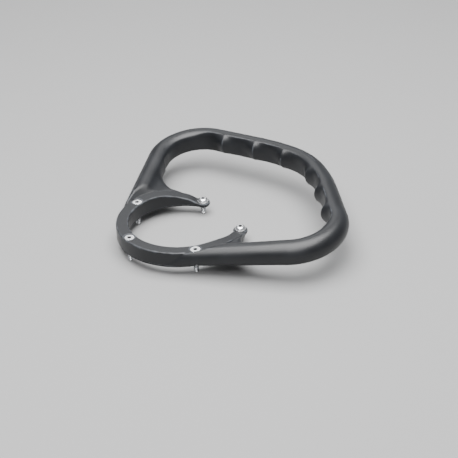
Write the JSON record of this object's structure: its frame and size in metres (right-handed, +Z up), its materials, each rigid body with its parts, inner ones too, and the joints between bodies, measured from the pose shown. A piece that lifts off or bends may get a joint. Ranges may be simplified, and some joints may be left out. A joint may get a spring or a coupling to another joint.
{
  "type": "motorcycle tank-mounted passenger grab handle",
  "caption": "Passenger grab handle for a motorcycle tank: a C-shaped bolt-on collar around the filler, two arms and one closed hand loop with finger grips.",
  "frame": {"origin": "centre of the five-screw bolt circle, on the plane where the rubber pad meets the tank's filler flange", "axes": "+Z up out of the tank, +X rearward from the filler to the loop's apex, +Y to the left-hand arm"},
  "size_m": [0.2148, 0.2634, 0.047],
  "materials": {
    "grained_plastic": "fine moulded grain, satin black-grey",
    "pad_rubber": "matte black rubber",
    "plated_screw": "bright zinc-plated steel",
    "steel_hardware": "turned steel"
  },
  "bodies": {
    "root": {"front_screw_1": "plated_screw", "front_screw_2": "plated_screw", "front_screw_3": "plated_screw", "front_sleeve_1": "steel_hardware", "front_sleeve_2": "steel_hardware", "front_sleeve_3": "steel_hardware", "handle_moulding": "grained_plastic", "mounting_pad": "pad_rubber", "rear_screw_1": "plated_screw", "rear_screw_2": "plated_screw", "rear_sleeve_1": "steel_hardware", "rear_sleeve_2": "steel_hardware", "rear_washer_1": "steel_hardware", "rear_washer_2": "steel_hardware"}
  },
  "joints": []
}
